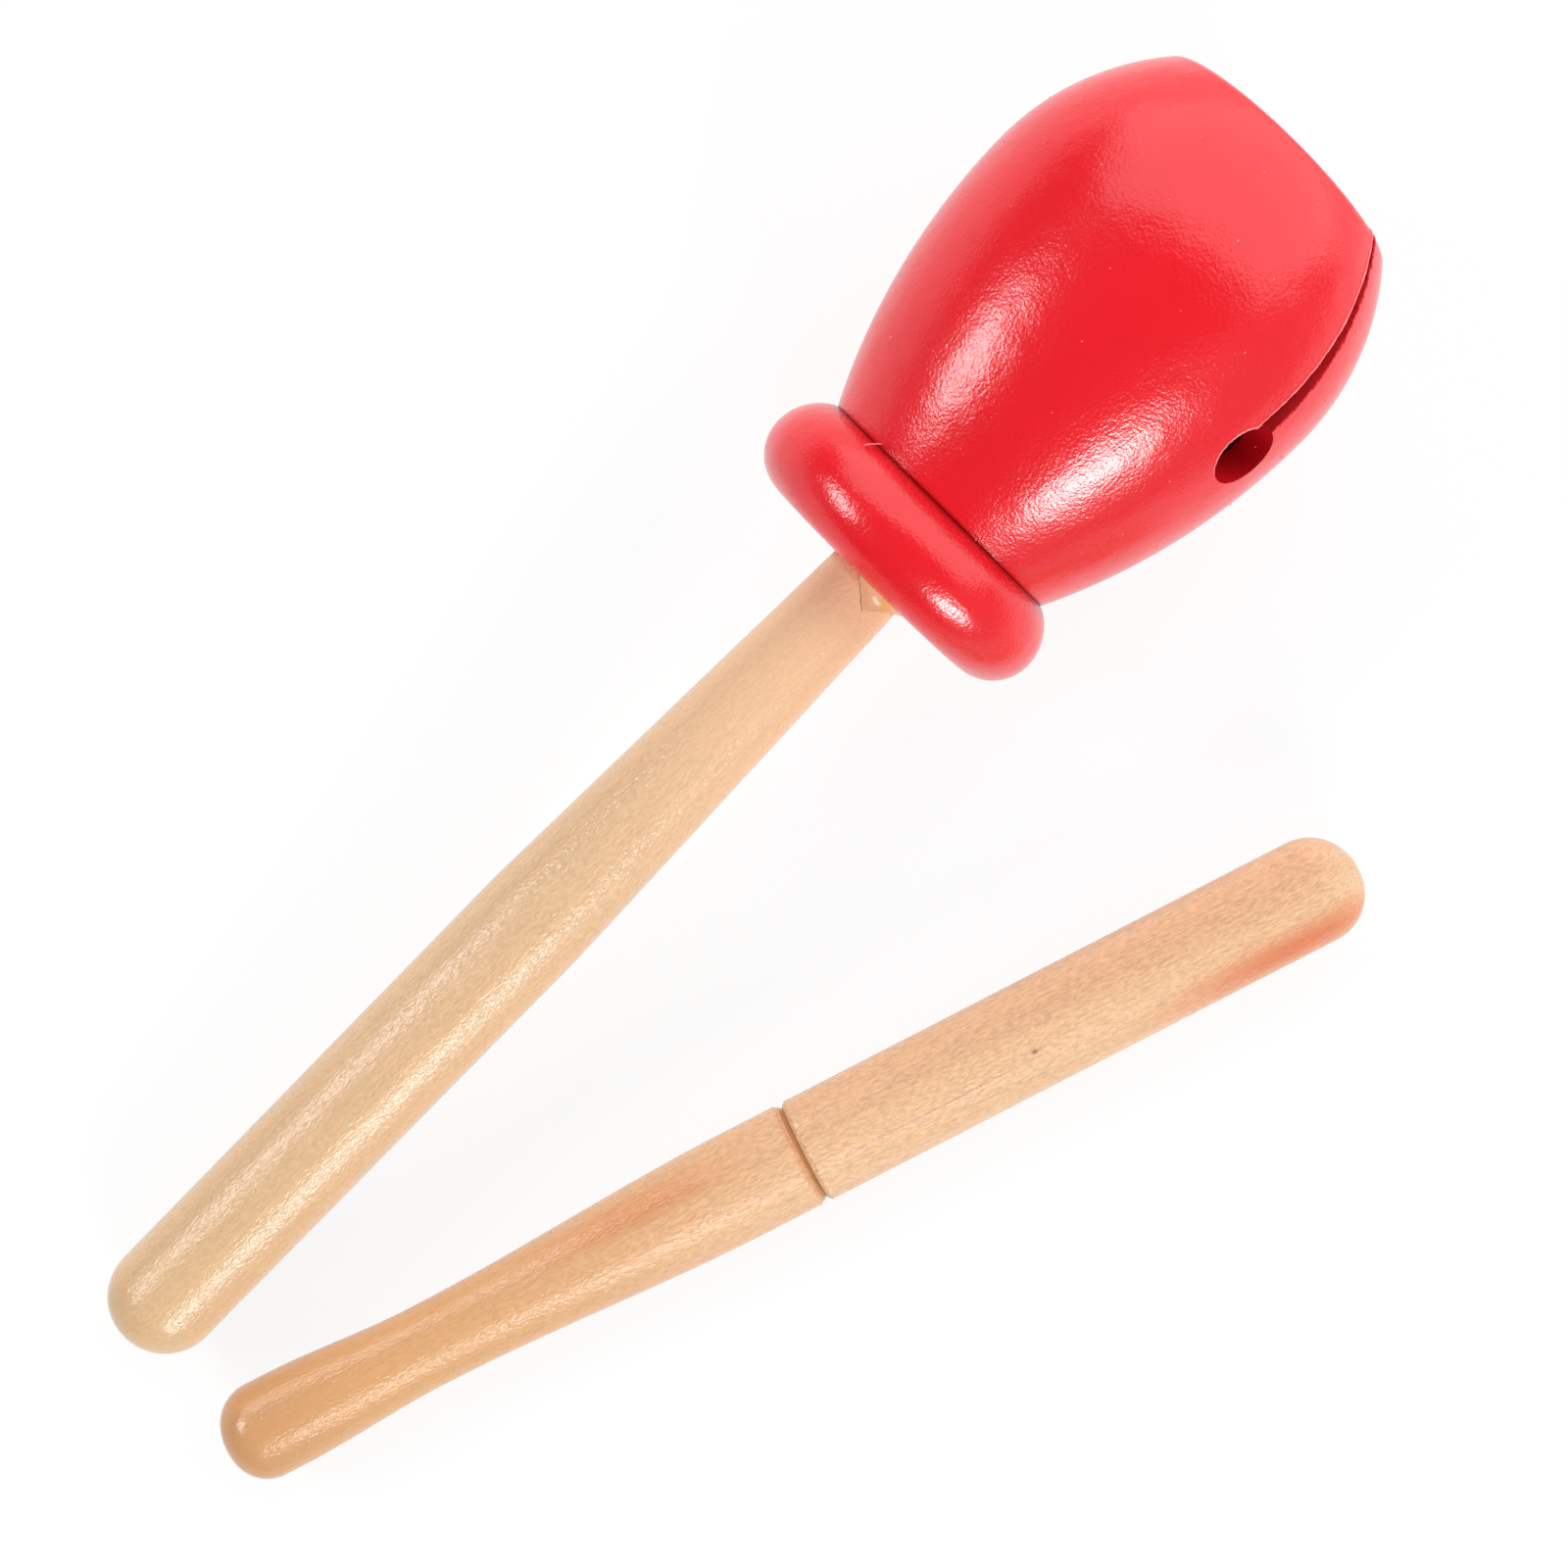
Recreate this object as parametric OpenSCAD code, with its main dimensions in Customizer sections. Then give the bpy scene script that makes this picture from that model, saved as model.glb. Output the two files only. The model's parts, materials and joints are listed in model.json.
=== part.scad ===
// Tulip block: a hollow turned wood block on a handle, lying on a table beside its loose beater.
// Every piece is turned on a lathe, so each is a revolved outline, drawn as radius across and length upwards.
// The block lies along X with its head at +X, and the table is at Z = 0.

/* [Handle] */
// Diameter of the straight grip
handle_d = 16; // [12:0.5:20]
// Length from the round end to the collar
handle_length = 147.5; // [120:0.5:180]
// Length of the straight grip, from the round end to where the taper starts
grip_length = 83; // [40:0.5:110]
// Rounding of the free end
handle_round = 7.5; // [2:0.5:8]
// Diameter where the handle meets the collar
handle_neck_d = 11.7; // [10.5:0.1:15]
// Diameter of the tenon that is glued into the collar
tenon_d = 9; // [5:0.5:10]
// Length of the tenon
tenon_length = 14; // [6:0.5:17]
// Bevel round the end of the tenon
tenon_bevel = 0.8; // [0.2:0.1:1.5]

/* [Collar] */
// Diameter over the crest of the bead
bead_d = 46.8; // [42:0.2:54]
// Thickness from the handle's side to the seam with the bowl
collar_thickness = 13.3; // [10:0.1:18]
// Rounding of the bead on the handle's side
bead_round = 6.5; // [4:0.1:8]
// Step by which the bead stands out from the bowl's neck at the seam
seam_step = 0.4; // [0:0.1:1]
// Length of the spigot that closes the bowl's neck
spigot_length = 7; // [4:0.5:12]

/* [Bowl] */
// Length from the seam to the flat end
bowl_length = 63.2; // [56:0.2:72]
// Outer diameter at the seam
neck_d = 37.9; // [34:0.1:41]
// Outer diameter at the widest place
belly_d = 56.4; // [50:0.2:64]
// Height of the widest place above the seam
belly_height = 39.5; // [34:0.5:44]
// Radius of the crown, from the widest place to the flat end
crown_radius = 35; // [30:0.5:45]
// Rounding of the rim round the flat end
rim_round = 2; // [0.5:0.1:4]
// Thickness of the turned wall
wall = 4.5; // [3:0.1:6]
// Thickness behind the flat end
end_wall = 8; // [5:0.5:14]
// Rounding of the corner inside, behind the flat end
cavity_round = 5; // [1:0.5:8]
// Diameter of the bore in the neck that takes the collar's spigot
neck_bore_d = 27; // [20:0.5:29]

/* [Kerf and cross bore] */
// Width of the saw kerf where it leaves the cross bore
kerf_root = 3.2; // [1:0.1:4]
// Width of the saw kerf at the flat end
kerf_tip = 0.9; // [0.5:0.1:2]
// Angle at which the kerf rises from the table, towards the beater's side
kerf_rise = 34.5; // [0:0.5:90]
// Diameter of the cross bore
bore_d = 9; // [5:0.1:11]
// Height of the cross bore above the seam
bore_height = 31.6; // [26:0.1:38]
// Distance of the bore's axis below the middle of the kerf
bore_drop = 1.5; // [0:0.1:3]

/* [Glue] */
// Gap that the glue fills round the tenon and the spigot
glue_gap = 0.1; // [0.05:0.05:0.3]
// Room for glue at the bottom of the tenon's socket
glue_well = 1.5; // [0.5:0.5:3]
// Height of the squeezed-out glue on the collar's face
glue_height = 1.8; // [0.8:0.1:3]
// Thickness of the glue where it thins out on the handle
glue_film = 0.3; // [0.1:0.05:0.6]
// Length of the squeezed-out glue along the handle
glue_reach = 4; // [2:0.5:8]
// Distance by which the glue creeps past the middle of the handle
glue_creep = 1.3; // [0:0.1:4]
// Angle of the glue's edge across the handle
glue_slant = 34.5; // [20:0.5:50]

/* [Beater] */
// Length from butt to tip
beater_length = 177; // [140:0.5:220]
// Diameter of the straight striking end
beater_d = 15.2; // [13:0.2:20]
// Diameter of the butt
butt_d = 13.8; // [12.4:0.2:18]
// Diameter of the waist
waist_d = 11.7; // [9:0.1:13]
// Distance of the butt's widest place from the end
butt_height = 8; // [6:0.5:14]
// Distance of the waist from the butt's end
waist_height = 31; // [24:0.5:45]
// Distance from the butt's end to where the straight striking end starts
swell_height = 81; // [65:0.5:86]
// Rounding of the butt
butt_round = 5.5; // [2:0.5:6]
// Rounding of the tip
tip_round = 7.2; // [2:0.2:7.6]
// Distance of the groove from the butt's end
groove_height = 90; // [88:0.5:120]
// Width of the groove
groove_width = 1.7; // [1:0.1:3]
// Depth of the groove
groove_depth = 0.7; // [0.4:0.1:1.5]

/* [Layout on the table] */
// Clear gap between the handle and the beater's butt
lay_gap = 6.3; // [2:0.1:30]
// Distance by which the butt lies behind the handle's end
lay_setback = 1.3; // [0:0.1:20]
// Angle by which the beater turns away from the block
lay_angle = 18.2; // [8:0.1:40]

/* [Hidden] */
$fn = 96;
// Length by which a cutter runs past what it cuts
past = 2;
// Number of short cones that make up a swell
swell_steps = 24;

lacquer_red = "#e11f2b";
maple_pale = "#e2c49c";
maple_warm = "#e0b284";
glue_amber = "#d99a45";

// Handle
handle_r = handle_d / 2;
handle_end = min(handle_round, handle_r);
neck_end_r = handle_neck_d / 2;
taper = (handle_r - neck_end_r) / (handle_length - grip_length);
tenon_r = tenon_d / 2;

// Collar
bead_r = bead_d / 2;
seam_r = neck_d / 2 + seam_step;
bead_back = collar_thickness - bead_round;
bead_back_r = arc_radius(bead_back, bead_r - seam_r);
spigot_r = neck_bore_d / 2 - glue_gap;

// Bowl
neck_r = neck_d / 2;
belly_r = belly_d / 2;
flank_radius = arc_radius(belly_height, belly_r - neck_r);
seam_z = handle_length + collar_thickness;
block_length = seam_z + bowl_length;
rim_r = corner_radius(0, bowl_length, rim_round);

// Lean of the lying block, from the touch of the handle's end and of the bowl's flank on the table
lean_run = seam_z + belly_height - handle_end;
lean_rise = flank_radius - belly_r + handle_r - handle_end;
lean = atan2(lean_run, lean_rise) - acos((flank_radius - handle_end) / norm([lean_run, lean_rise]));
tip_z = handle_end + (handle_r - handle_end) * cos(lean) - handle_end * sin(lean);

// Beater
butt_r = butt_d / 2;
beater_r = beater_d / 2;
waist_r = waist_d / 2;
butt_corner = min(butt_round, butt_r);
tip_corner = min(tip_round, beater_r);

// Butt of the beater on the table, seen from the handle's end
butt_at = [-lay_setback, -(handle_r + lay_gap + butt_r)];

// The pieces as they lie are centred over the origin
back_x = min(handle_end * cos(lean) - (handle_r - handle_end) * sin(lean) - handle_end,
    butt_at.x + butt_corner * cos(lay_angle) - (butt_r - butt_corner) * sin(lay_angle) - butt_corner);
front_x = (block_length - rim_round) * cos(lean) + rim_r * sin(lean) + rim_round;
left_y = belly_r;
right_y = butt_at.y - (beater_length - tip_corner) * sin(lay_angle)
    - (beater_r - tip_corner) * cos(lay_angle) - tip_corner;
centre = [(back_x + front_x) / 2, (left_y + right_y) / 2];

// Radius, to the nearest hundredth, of the arc that falls by a drop over a run and starts level
function arc_radius(run, drop) = round(100 * (run * run + drop * drop) / (2 * drop)) / 100;

// Radius of a swell at a share of its run
function swell_radius(from, to, share) = from + (to - from) * (1 - cos(180 * share)) / 2;

// Radius at which a corner's rounding is centred under a crown that is inset and cut flat at a height
function corner_radius(inset, top, corner) = belly_r - crown_radius
    + sqrt(pow(crown_radius - inset - corner, 2) - pow(top - corner - belly_height, 2));

// Places a piece of the block as it lies on the table
module lay_block() {
    translate([-centre.x, -centre.y, tip_z])
        rotate([0, 90 - lean, 0])
            children();
}

// Places the beater as it lies on the table
module lay_beater() {
    translate([butt_at.x - centre.x, butt_at.y - centre.y, beater_r])
        rotate([0, 0, -lay_angle])
            rotate([0, 90, 0])
                children();
}

// Plain stretch of an outline from one height to another
module band(radius, from, to) {
    translate([0, from])
        square([radius, to - from]);
}

// Strip of the drawing between two heights, wider than any piece, which keeps one stretch of a circle
module strip(from, to) {
    band(belly_d, from, to);
}

// Tapered stretch of an outline
module cone_band(radius_from, from, radius_to, to) {
    polygon([[0, from], [radius_from, from], [radius_to, to], [0, to]]);
}

// Rounded end of an outline, which starts at height zero
module round_end(radius, corner) {
    band(radius - corner, 0, corner);
    intersection() {
        translate([radius - corner, corner])
            circle(corner);
        strip(-past, corner);
    }
}

// Stretch of an outline that swells or shrinks from one radius to another and is level at both ends
module swell(radius_from, from, radius_to, to) {
    side = [for (i = [0:swell_steps])
        [swell_radius(radius_from, radius_to, i / swell_steps), from + (to - from) * i / swell_steps]];
    polygon(concat([[0, to], [0, from]], side));
}

// Outline of the bowl, drawn in by an inset and cut flat with a rounded corner at the top
module bowl_outline(inset, bottom, top, corner) {
    corner_at = [corner_radius(inset, top, corner), top - corner];
    crown_at = [belly_r - crown_radius, belly_height];
    outwards = (corner_at - crown_at) / norm(corner_at - crown_at);
    upwards = [0, 1];
    intersection() {
        translate([belly_r - flank_radius, belly_height])
            circle(flank_radius - inset, $fn = 360);
        strip(bottom, belly_height);
    }
    difference() {
        intersection() {
            translate(crown_at)
                circle(crown_radius - inset, $fn = 240);
            strip(belly_height, top);
        }
        translate(corner_at)
            polygon(belly_r * [[0, 0], upwards, upwards + outwards, outwards]);
    }
    translate(corner_at)
        circle(corner);
}

// Hollow that is turned out through the neck
module cavity() {
    rotate_extrude($fn = 180) {
        band(neck_bore_d / 2, -past, spigot_length + past);
        bowl_outline(wall, spigot_length, bowl_length - end_wall, cavity_round);
    }
}

// Tapered saw cut from the flat end down into the cross bore
module kerf() {
    spread = (kerf_tip - kerf_root) / (bowl_length - bore_height) / 2;
    half_root = kerf_root / 2;
    half_top = half_root + spread * (bowl_length + past - bore_height);
    rotate([90, 0, 90])
        linear_extrude(belly_d + 2 * past, center = true)
            polygon([
                [-half_root, bore_height], [half_root, bore_height],
                [half_top, bowl_length + past], [-half_top, bowl_length + past]
            ]);
}

module cross_bore() {
    translate([0, bore_drop, bore_height])
        rotate([0, 90, 0])
            cylinder(h = belly_d + 2 * past, d = bore_d, center = true);
}

module bowl() {
    color(lacquer_red)
        lay_block()
            translate([0, 0, seam_z])
                rotate([0, 0, -90 - kerf_rise])
                    difference() {
                        rotate_extrude($fn = 180)
                            bowl_outline(0, 0, bowl_length, rim_round);
                        cavity();
                        kerf();
                        cross_bore();
                    }
}

module bead_outline() {
    round_end(bead_r, bead_round);
    intersection() {
        translate([bead_r - bead_back_r, bead_round])
            circle(bead_back_r);
        strip(bead_round, collar_thickness);
    }
}

module collar() {
    color(lacquer_red)
        lay_block()
            translate([0, 0, handle_length])
                rotate_extrude($fn = 180)
                    difference() {
                        union() {
                            bead_outline();
                            band(spigot_r, collar_thickness, collar_thickness + spigot_length);
                        }
                        band(tenon_r + glue_gap, -past, tenon_length + glue_well);
                    }
}

module handle() {
    tenon_end = handle_length + tenon_length;
    color(maple_pale)
        lay_block()
            rotate_extrude() {
                round_end(handle_r, handle_end);
                band(handle_r, handle_end, grip_length);
                cone_band(handle_r, grip_length, neck_end_r, handle_length);
                band(tenon_r, handle_length, tenon_end - tenon_bevel);
                cone_band(tenon_r, tenon_end - tenon_bevel, tenon_r - tenon_bevel, tenon_end);
            }
}

// Section of the squeezed-out glue in the corner of handle and collar, hollowed by an arc
module glue_section() {
    thin_at = handle_length - glue_reach;
    thin_inner = neck_end_r + taper * glue_reach;
    thin_outer = thin_inner + glue_film;
    thick_outer = neck_end_r + glue_height;
    hollow = arc_radius(glue_reach, thick_outer - thin_outer);
    difference() {
        polygon([
            [thin_inner, thin_at], [thick_outer, thin_at],
            [thick_outer, handle_length], [neck_end_r, handle_length]
        ]);
        translate([thin_outer + hollow, thin_at])
            circle(hollow);
    }
}

module handle_glue() {
    side = handle_r + glue_height;
    color(glue_amber)
        lay_block()
            intersection() {
                rotate_extrude()
                    glue_section();
                translate([0, 0, handle_length])
                    rotate([90, 0, 90])
                        linear_extrude(2 * side, center = true)
                            polygon([[glue_creep, 0], [-side, 0],
                                [-side, -(side + glue_creep) * tan(glue_slant)]]);
            }
}

module groove_section() {
    polygon([
        [beater_r - groove_depth, groove_height],
        [beater_r + groove_depth, groove_height - groove_width],
        [beater_r + groove_depth, groove_height + groove_width]
    ]);
}

module beater() {
    color(maple_warm)
        lay_beater()
            rotate_extrude()
                difference() {
                    union() {
                        round_end(butt_r, butt_corner);
                        band(butt_r, butt_corner, butt_height);
                        swell(butt_r, butt_height, waist_r, waist_height);
                        swell(waist_r, waist_height, beater_r, swell_height);
                        band(beater_r, swell_height, beater_length - tip_corner);
                        translate([0, beater_length])
                            mirror([0, 1])
                                round_end(beater_r, tip_corner);
                    }
                    groove_section();
                }
}

bowl();
collar();
handle();
handle_glue();
beater();
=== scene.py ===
# %% Load the frame
import json
import math

import bpy
from mathutils import Matrix, Vector, noise


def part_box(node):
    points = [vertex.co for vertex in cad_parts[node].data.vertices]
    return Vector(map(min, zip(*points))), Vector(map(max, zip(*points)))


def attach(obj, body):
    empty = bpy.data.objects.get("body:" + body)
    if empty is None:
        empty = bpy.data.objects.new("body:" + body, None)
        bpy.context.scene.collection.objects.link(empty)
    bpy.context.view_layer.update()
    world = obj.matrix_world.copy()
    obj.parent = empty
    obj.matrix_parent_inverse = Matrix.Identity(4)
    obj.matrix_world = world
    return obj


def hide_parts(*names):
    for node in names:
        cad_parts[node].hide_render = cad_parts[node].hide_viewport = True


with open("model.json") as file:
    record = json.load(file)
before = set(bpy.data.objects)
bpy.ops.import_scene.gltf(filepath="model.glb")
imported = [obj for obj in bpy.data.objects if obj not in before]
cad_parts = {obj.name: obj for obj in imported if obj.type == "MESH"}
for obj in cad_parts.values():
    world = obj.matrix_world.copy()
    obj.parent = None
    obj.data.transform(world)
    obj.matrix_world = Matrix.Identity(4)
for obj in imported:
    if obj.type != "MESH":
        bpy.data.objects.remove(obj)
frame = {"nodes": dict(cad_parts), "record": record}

scene = bpy.context.scene
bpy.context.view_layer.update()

# %% [markdown]
# # A tulip block and its beater
# The block is a hollow turned bowl and a beaded collar, both sprayed red, on a bare wooden handle. Its
# loose beater lies beside it. The solids that were just loaded already have the true sizes, so this
# lesson adds what they lack: grain, orange peel in the lacquer, lips along the saw cut, a torn groove
# and the glue at the joint.
#
# ## Where the block lies
# The block leans, because it rests on its fat head and on the end of its thin handle. The angle could be
# typed in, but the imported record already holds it: the flat end gives the block's axis, and the cross
# bore gives the side to which the saw cut is turned. Three directions and one point make a frame, and in
# it every piece is upright.

# %% The block's own frame, from the record's mounts
MM = 0.001
# In millimetres: the seam over the handle's end, then the bowl's length and the bore, over the seam.
seam_height = 160.8
bowl_length = 63.2
bore_height, bore_drop, bore_r = 31.6, 1.5, 4.5
# Half the width of the saw cut at the bore and at the flat end.
kerf_root, kerf_tip = 1.6, 0.45
mounts = {mount["name"]: mount for mount in frame["record"]["mounts"]}
axis = Vector(mounts["end_face"]["axis"]).normalized()
bore_way = Vector(mounts["cross_bore"]["axis"]).normalized()
kerf_side = axis.cross(bore_way).normalized()
bore_middle = Vector(mounts["cross_bore"]["pos_m"])
seam_point = bore_middle - axis * bore_height * MM - kerf_side * bore_drop * MM


def placed(x_way, z_way, origin):
    """Matrix of a frame with the given X and Z directions and origin."""
    z_way = z_way.normalized()
    y_way = z_way.cross(x_way).normalized()
    x_way = y_way.cross(z_way)
    return Matrix.Translation(origin) @ Matrix((x_way, y_way, z_way)).transposed().to_4x4()


handle_end_point = seam_point - axis * seam_height * MM
block_frame = placed(Vector((0, 0, 1)), axis, handle_end_point)
bowl_frame = placed(bore_way, axis, seam_point)
print("handle's end in mm:", [round(x / MM, 2) for x in handle_end_point],
      "lean in degrees:", round(math.degrees(math.asin(axis.z)), 2))

# %% [markdown]
# ## The camera
# The photograph looks straight down, with the block running up to the right. A camera at the end of a
# long lens, 39 cm above the table, gives the same slight widening of the high bowl against the low
# beater. Straight down needs no tilt at all, so one turn about Z is the whole rotation.

# %% Camera
camera_height = 390
camera_over = (7.7, 15.55)
camera_turn = 45.41
camera_lens = 62.84
camera_data = bpy.data.cameras.new("camera")
camera_data.lens = camera_lens
camera_data.sensor_width = 36
camera_data.clip_start = 0.01
camera = bpy.data.objects.new("camera", camera_data)
camera.location = (camera_over[0] * MM, camera_over[1] * MM, camera_height * MM)
camera.rotation_euler = (0, 0, -math.radians(camera_turn))
scene.collection.objects.link(camera)
scene.camera = camera
print("camera looks down from", camera_height, "mm")

# %% [markdown]
# ## Light
# The highlights tell where the lamps stood. Each stick shows a streak on either side, and both fade
# towards the block's head: so one soft box stands on each long side of the table, on the handle's half
# of it, and each is about 24 degrees wide as the object sees it. The broad pink sheen on the crown is a
# large white wall past the head, and a dim wall on the right keeps that side from going dark. Each lamp
# is set by its direction and by its brightness, where 1 is white paper, and its power follows from its
# area. A small strong lamp would do for the light, but only one of the right width gives streaks of the
# right width.

# %% Lamps
lamp_distance = 1.2


def soft_box(name, way, brightness, width, height):
    """Area lamp that faces the object from a direction, with the brightness of its surface."""
    data = bpy.data.lights.new(name, "AREA")
    data.shape = "RECTANGLE"
    data.size = width
    data.size_y = height
    data.energy = brightness * math.pi * width * height
    lamp = bpy.data.objects.new(name, data)
    way = Vector(way).normalized()
    lamp.location = way * lamp_distance
    lamp.rotation_euler = way.to_track_quat("Z", "Y").to_euler()
    lamp.visible_camera = False
    scene.collection.objects.link(lamp)
    print(name, "stands", round(math.degrees(math.asin(way.z))), "degrees above the table")
    return lamp


left_way, right_way = (-0.42, 0.70, 0.57), (-0.425, -0.765, 0.485)
box_width, box_height = 0.5, 0.3
soft_box("lamp_left", left_way, 14.5, box_width, box_height)
lamp_right = soft_box("lamp_right", right_way, 20.0, box_width, box_height)
soft_box("wall_past_the_head", (0.81, 0.14, 0.57), 2.0, 3.0, 1.7)
soft_box("wall_on_the_right", (-0.1, -0.95, 0.3), 0.3, 2.4, 1.4)

# %% [markdown]
# ## Colours and nodes
# A colour picker gives sRGB codes, but a shader counts light, so one function turns codes into linear
# numbers. Shaders are made of nodes, and each node is added, set and wired in the same way, so one more
# function does that for every kind.


# %% Two helpers
def linear(code):
    """Linear colour of an sRGB hex code."""
    parts = [int(code[i:i + 2], 16) / 255 for i in (1, 3, 5)]
    return [c / 12.92 if c <= 0.04045 else ((c + 0.055) / 1.055) ** 2.4 for c in parts] + [1.0]


def add(tree, kind, wires=None, **settings):
    """Add a node with its settings. wires gives each input a value or another node's output."""
    node = tree.nodes.new("ShaderNode" + kind)
    for key, value in settings.items():
        setattr(node, key, value)
    for key, value in (wires or {}).items():
        if isinstance(value, bpy.types.NodeSocket):
            tree.links.new(value, node.inputs[key])
        else:
            node.inputs[key].default_value = value
    return node


print("mid grey is", round(linear("#808080")[0], 3), "of white")

# %% [markdown]
# ## The room
# Lacquer is a mirror in miniature, so what stands round the table matters. The photograph's head is deep
# red in the middle and on the handle's side, so there it mirrors a dim room. The same dim grey all round
# does that. Only the camera, which Light Path tells apart, sees plain white past the table.

# %% Dim room
room_level = 0.15
world = bpy.data.worlds.new("studio")
world.use_nodes = True
scene.world = world
room = world.node_tree
room.nodes.clear()
room_seen = add(room, "MapRange", {"Value": add(room, "LightPath").outputs["Is Camera Ray"],
                                   "To Min": room_level, "To Max": 1.0})
room_light = add(room, "Background", {"Color": linear("#FFFFFF"), "Strength": room_seen.outputs["Result"]})
add(room, "OutputWorld", {"Surface": room_light.outputs["Background"]})
scene.view_settings.view_transform = "Standard"
print("room at", room_level, "of white")

# %% [markdown]
# ## The table
# The photograph has a plain white ground. A white sheet alone renders a little grey, so the camera sees
# it blended with plain white: enough of the real sheet is left near the object for the soft shadow to
# show, and none of it far away. The lacquer mirrors white only from close by on the handle's end and on
# the beater's side, so there the sheet was short and the table past it dim. Mirrors see just that here.

# %% Floor
# Lengths are in metres here, and floor_white is the share of plain white near the object.
floor_half = 10.0
floor_drop = 0.00005
floor_white = 0.87
plain_from, plain_to = 0.3, 0.9
sheet_end, sheet_fade = 0.12, 0.28
short_side = (-0.6, -0.8, 0.0)
corners = [(-1, -1), (1, -1), (1, 1), (-1, 1)]
floor_points = [(x * floor_half, y * floor_half, -floor_drop) for x, y in corners]
floor_mesh = bpy.data.meshes.new("table_sheet")
floor_mesh.from_pydata(floor_points, [], [(0, 1, 2, 3)])
floor = bpy.data.objects.new("table_sheet", floor_mesh)
scene.collection.objects.link(floor)


def new_material(name):
    """An empty node material, its tree and its object coordinates in metres."""
    material = bpy.data.materials.new(name)
    material.use_nodes = True
    material.node_tree.nodes.clear()
    return material, material.node_tree, add(material.node_tree, "TexCoord").outputs["Object"]


# Matt white paper: an even, rough, white surface with no gloss.
paper, tree, where = new_material("white_paper")
ray = add(tree, "LightPath").outputs
mirror = add(tree, "Math", {0: ray["Is Glossy Ray"], 1: ray["Is Transmission Ray"]}, operation="MAXIMUM")
away = add(tree, "VectorMath", {0: where}, operation="LENGTH")
plain_share = add(tree, "MapRange", {"Value": away.outputs["Value"], "From Min": plain_from,
                                     "From Max": plain_to, "To Min": floor_white, "To Max": 1.0},
                  interpolation_type="SMOOTHSTEP")
share = add(tree, "Math", {0: ray["Is Camera Ray"], 1: plain_share.outputs["Result"], 2: mirror.outputs[0]},
            operation="MULTIPLY_ADD")
out = add(tree, "VectorMath", {0: where, 1: short_side}, operation="DOT_PRODUCT")
glow = add(tree, "MapRange", {"Value": out.outputs["Value"], "From Min": sheet_end, "From Max": sheet_fade,
                              "To Min": 1.0, "To Max": room_level})
glow = add(tree, "MapRange", {"Value": ray["Is Camera Ray"], "To Min": glow.outputs["Result"],
                              "To Max": 1.0})
sheet = add(tree, "BsdfDiffuse", {"Color": linear("#F4F4F4")})
plain = add(tree, "Emission", {"Color": linear("#FFFFFF"), "Strength": glow.outputs[0]})
both = add(tree, "MixShader", {0: share.outputs[0], 1: sheet.outputs[0], 2: plain.outputs[0]})
add(tree, "OutputMaterial", {"Surface": both.outputs[0]})
floor_mesh.materials.append(paper)
print("table is", 2 * floor_half, "m wide")

# %% [markdown]
# ## Red lacquer
# The head is sprayed with a pigmented lacquer. It dries glossy but not flat: surface tension leaves an
# orange peel of bumps about half a millimetre wide over slow waves, which breaks up every highlight. The
# peel could be modelled, but it is only a few hundredths of a millimetre high, so a bump from noise is the
# right tool.

# %% Orange peel
peel_size, peel_height = 0.5, 0.048
wrinkle_size, wrinkle_share = 0.3, 0.6
wave_size, wave_share = 5.0, 3.0


def per_mm(size):
    """Scale of a pattern whose features are this many millimetres wide."""
    return 1 / (size * MM)


red_lacquer, tree, where = new_material("sprayed_red_lacquer")
peel = add(tree, "TexNoise", {"Vector": where, "Scale": per_mm(peel_size), "Detail": 1.0})
wrinkle = add(tree, "TexNoise", {"Vector": where, "Scale": per_mm(wrinkle_size), "Detail": 1.0})
wave = add(tree, "TexNoise", {"Vector": where, "Scale": per_mm(wave_size), "Detail": 1.0})
skin = add(tree, "Math", {0: wrinkle.outputs[0], 1: wrinkle_share, 2: peel.outputs[0]},
           operation="MULTIPLY_ADD")
skin = add(tree, "Math", {0: wave.outputs[0], 1: wave_share, 2: skin.outputs[0]}, operation="MULTIPLY_ADD")
print("peel is", peel_size, "mm wide")

# %% [markdown]
# ## Dry spray and painted shade at the seam
# In the corner between collar and bowl the spray lands half dry, so there it is grainy and a little rougher.
# Its grains are also darker, which is painted shade of that corner, and the very corner gets a darker
# painted shade still. The bands could be painted on the mesh, but the solids stay as they are, so the
# material finds them by the height along the block's axis, which is a dot product.

# %% Dry band and painted shade at the seam
seam_from, seam_to, seam_fade = -1.4, 0.4, 0.7
corner_half, corner_fade, corner_shade_share = 0.1, 0.4, 0.8
grit_size, grit_from, grit_to = 0.45, 0.4, 0.62
seam_climb = seam_point.dot(axis)
band_middle = seam_climb + (seam_from + seam_to) / 2 * MM
band_half = (seam_to - seam_from) / 2 * MM
climb = add(tree, "VectorMath", {0: where, 1: axis}, operation="DOT_PRODUCT").outputs["Value"]
off = add(tree, "Math", {0: climb, 1: band_middle}, operation="SUBTRACT")
off = add(tree, "Math", {0: off.outputs[0]}, operation="ABSOLUTE")
seam_band = add(tree, "MapRange", {"Value": off.outputs[0], "From Min": band_half - seam_fade * MM,
                                   "From Max": band_half, "To Min": 1.0, "To Max": 0.0})
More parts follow.
